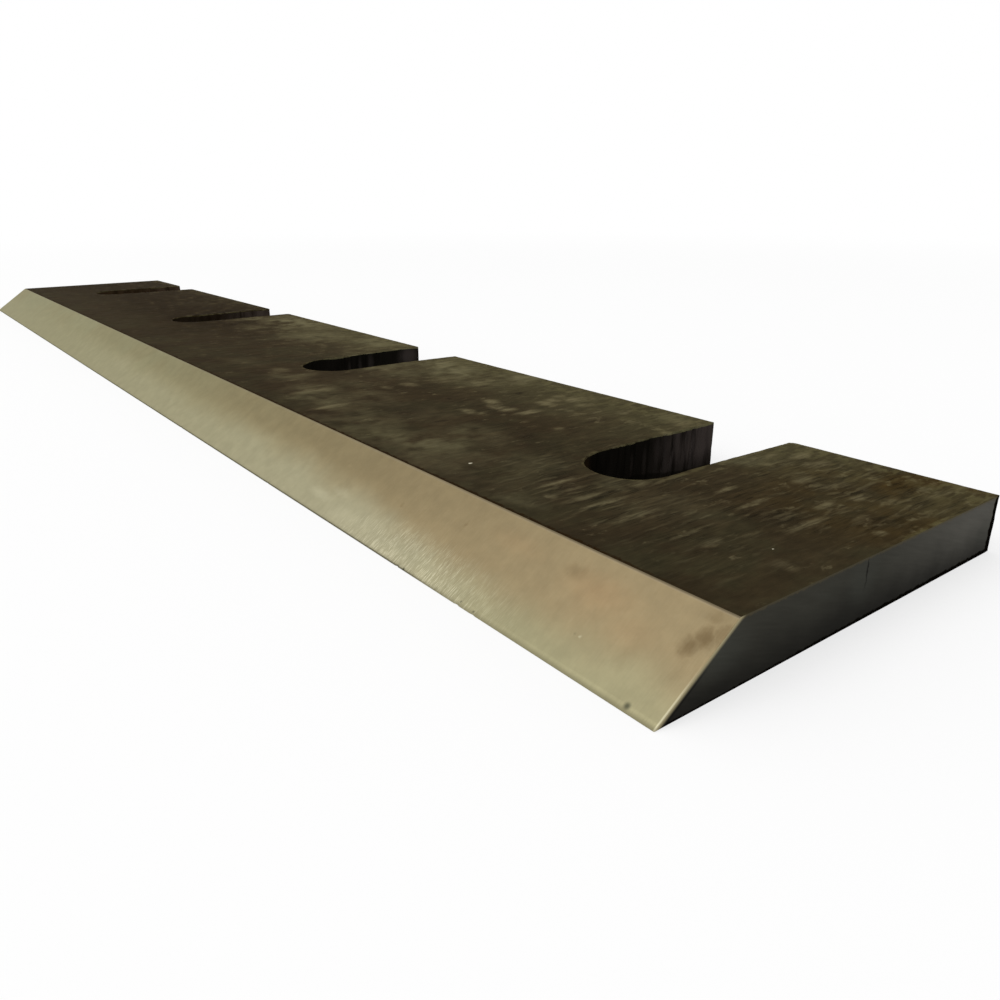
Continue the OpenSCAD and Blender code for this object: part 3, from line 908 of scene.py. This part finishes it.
def makeEndFinish(look):
    # end faces: satin grey, darker towards the bottom with a painted reflection gradient and a painted shadow band at
    # the bottom edge, paler at the tip and at the back
    material, tree, place, shader = startMaterial("satinEnd", look)
    parts = put(tree, "SeparateXYZ", {0: place}).outputs
    frayed = useGroup(tree, groups["fray"], {"Vector": place, "Size": 1.2, "Reach": 0.5}).outputs[0]
    clouds = put(tree, "TexNoise", {"Vector": place, "Scale": 0.12, "Detail": 3.0}).outputs[0]
    # painted reflection: lower to upper with height, so the end face is darker towards the bottom
    height = maths(tree, "ADD", parts[2], times(tree, maths(tree, "SUBTRACT", clouds, 0.5), 5.0))
    colour = blendColours(tree, ramp(tree, height, -0.5, 9.5), look["lower"], look["upper"])
    backward = times(tree, ramp(tree, parts[1], -2.0, 38.0), ramp(tree, height, 0.0, 8.5, 0.12, 1.0))
    colour = blendColours(tree, backward, colour, look["back"])
    pale = strongest(tree, [times(tree, marked(tree, frayed, (228.5, y, z), (200, w, h), 1.0), strength)
                            for y, z, w, h, strength in look["paleMarks"]])
    colour = blendColours(tree, pale, colour, look["tip"])
    drag = useGroup(tree, groups["lines"], {"Vector": turned(tree, place, (math.radians(18), 0, 0)),
                                            "Across": 9.0, "Along": 7.0, "Depth": 0.5})
    colour = strengthen(tree, colour, ramp(tree, drag.outputs["Lines"], 0.25, 0.75, 0.92, 1.08))
    seam = marked(tree, frayed, (228.5, 1.2, 7.6), (2, 0.22, 3.4), 0.6)
    colour = blendColours(tree, times(tree, seam, 0.75), colour, look["seam"])
    frayedParts = put(tree, "SeparateXYZ", {0: frayed}).outputs
    # painted shadow: a near-black ragged band along the bottom edge, higher towards the back, joined by the dark torn
    # strip beside the back edge
    shadowBandTop = ramp(tree, parts[1], -30.0, 34.0, 0.35, 0.8)
    raggedBack = maths(tree, "ADD", frayedParts[1], ramp(tree, clouds, 0.3, 0.7, -0.4, 0.4))
    paintedShadeAndDark = maths(tree, "MAXIMUM", ramp(tree, maths(tree, "SUBTRACT", frayedParts[2], shadowBandTop), 0.2, -0.15),
                 ramp(tree, raggedBack, 39.1, 39.4))
    colour = blendColours(tree, paintedShadeAndDark, colour, look["shadowAndTornBlack"])
    colour = blendColours(tree, times(tree, ramp(tree, frayedParts[2], 9.45, 9.75), 0.5), colour, look["rim"])

    # worn arris beside the bevel, with a dark line behind it; the distance is square to the bevel
    footY, footZ = look["bevelFoot"]
    slant = math.hypot(look["bevelRun"], look["bevelRise"])
    rise = times(tree, maths(tree, "SUBTRACT", parts[2], footZ), look["bevelRun"] / slant)
    back = times(tree, maths(tree, "SUBTRACT", parts[1], footY), look["bevelRise"] / slant)
    fromBevel = maths(tree, "SUBTRACT", back, rise)
    behind = times(tree, ramp(tree, fromBevel, 0.65, 0.9), ramp(tree, fromBevel, 1.25, 0.95),
                   ramp(tree, parts[2], 6.0, 3.0, 0.0, 0.6))
    colour = blendColours(tree, behind, colour, look["seam"])
    colour = blendColours(tree, ramp(tree, fromBevel, 0.85, 0.1), colour, look["arrisWearAndShade"])
    paintedShadeAndDark = times(tree, paintedShadeAndDark, ramp(tree, fromBevel, 0.2, 0.7))
    tree.links.new(colour, shader.inputs["Base Color"])
    tree.links.new(maths(tree, "SUBTRACT", 1.0, paintedShadeAndDark), shader.inputs["Metallic"])
    bump = put(tree, "Bump", {"Height": drag.outputs["Height"], "Strength": 0.12, "Distance": 0.00004})
    tree.links.new(bump.outputs[0], shader.inputs["Normal"])
    return material


cutFinish = {
    "ridge": tone(61, 55, 52),
    "valley": tone(20, 17, 15),
    "deep": tone(12, 11, 7),
    "rust": tone(56, 43, 28),
    "torn": tone(7, 6, 5),
    "metallic": 1.0,
    "roughness": 0.7,
    "sheen": 0.0,
    "edgeTint": (0.3, 0.3, 0.3, 1.0),
    "roundEnd": 6.75,             # how far across the width the slots' round ends are centred
    # places that are rubbed bare: y, z, half width, half height, strength
    "bare": [(15.8, 5.5, 0.8, 4, 0.25), (19.4, 5, 1.0, 5.5, 0.3), (23.2, 6.5, 1.6, 4.5, 0.3), (37, 7.5, 5, 4.5, 0.7)],
    # dark grooves, written the same way
    "grooves": [(28, 7, 0.5, 5, 0.9), (25.2, 4, 0.6, 4.5, 0.9), (21.2, 5, 0.8, 6, 0.9), (17.2, 5.5, 0.9, 4.5, 0.8),
                (14.4, 6, 0.5, 5, 0.5), (34, 8, 0.3, 2.5, 0.7), (35, 8, 0.3, 2.5, 0.7), (39.6, 2, 1.2, 4, 0.4),
                (30.5, 4.5, 1.2, 4, 0.3), (25.6, 2.5, 1.6, 1.8, 0.5)],
}


def makeCutFinish(look):
    # slot walls and back edge: near-black cut skin with upright drag lines, with painted shade making them blacker
    # towards the round ends, inside the slots and along the foot
    material, tree, place, shader = startMaterial("cutWall", look)
    parts = put(tree, "SeparateXYZ", {0: place}).outputs
    frayed = useGroup(tree, groups["fray"], {"Vector": place, "Size": 1.5, "Reach": 0.5}).outputs[0]
    frayedParts = put(tree, "SeparateXYZ", {0: frayed}).outputs
    upright = turned(tree, place, (math.radians(90), 0.0, 0.0))
    lines = useGroup(tree, groups["lines"], {"Vector": upright, "Across": 0.7, "Along": 9.0, "Depth": 0.9})
    broad = useGroup(tree, groups["lines"], {"Vector": upright, "Across": 2.6, "Along": 14.0, "Depth": 2.6})
    both = maths(tree, "ADD", times(tree, lines.outputs["Height"], 0.4), broad.outputs["Height"])
    colour = blendColours(tree, ramp(tree, both, -0.26, 0.1), look["valley"], look["ridge"])
    # painted shade: darker towards the slots' round ends and inside two of the slots; below it, a painted shadow at
    # the foot of the wall, joined by the dark grooves
    inside = strongest(tree, [ramp(tree, parts[1], look["roundEnd"] + 26.0, look["roundEnd"] + 12.0),
                              marked(tree, place, (59.8, 20, 5), (22, 80, 40), 0.4),
                              times(tree, marked(tree, place, (-59.8, 12, 5), (22, 34, 40), 0.6), 0.8)])
    low = ramp(tree, parts[2], 5.0, 0.5)
    grooves = [times(tree, marked(tree, frayed, (0, y, z), (400, w, h), 0.7), strength)
               for y, z, w, h, strength in look["grooves"]]
    paintedShadeAndDark = strongest(tree, [times(tree, inside, 0.9), times(tree, low, 0.6)] + grooves)
    colour = blendColours(tree, paintedShadeAndDark, colour, look["deep"])
    bare = strongest(tree, [times(tree, marked(tree, frayed, (0, y, z), (400, w, h), 0.8), strength)
                            for y, z, w, h, strength in look["bare"]])
    colour = blendColours(tree, bare, colour, look["ridge"])
    # painted shadow: a dark band along the foot of the wall, higher towards the round end
    floorLine = maths(tree, "SUBTRACT", frayedParts[2], ramp(tree, parts[1], 15.0, 36.0, 2.6, 0.5))
    colour = blendColours(tree, times(tree, ramp(tree, floorLine, 0.5, -0.1), 0.6), colour, look["deep"])
    rusty = maths(tree, "MAXIMUM", times(tree, marked(tree, frayed, (171.5, 1, 8.0), (4.5, 4.5, 5), 1.0), 0.5),
                  ramp(tree, parts[0], 0.0, -170.0, 0.0, 0.75))
    colour = blendColours(tree, rusty, colour, look["rust"])
    grain = times(tree, rusty, ramp(tree, both, -0.26, 0.16, -0.7, 0.25))
    colour = strengthen(tree, colour, maths(tree, "ADD", 1.0, grain))
    torn = times(tree, ramp(tree, maths(tree, "ABSOLUTE", parts[0]), 227.9, 228.1), ramp(tree, parts[1], 39.0, 39.6))
    colour = blendColours(tree, torn, colour, look["torn"])
    tree.links.new(colour, shader.inputs["Base Color"])
    tree.links.new(maths(tree, "SUBTRACT", 1.0, torn), shader.inputs["Metallic"])
    bump = put(tree, "Bump", {"Height": both, "Strength": 0.5, "Distance": 0.0002})
    tree.links.new(bump.outputs[0], shader.inputs["Normal"])
    return material


for finish in (makeFlatFinish(flatFinish), makeBevelFinish(bevelFinish),
               makeEndFinish(endFinish), makeCutFinish(cutFinish)):
    knife.data.materials.append(finish)
print("finishes assigned")
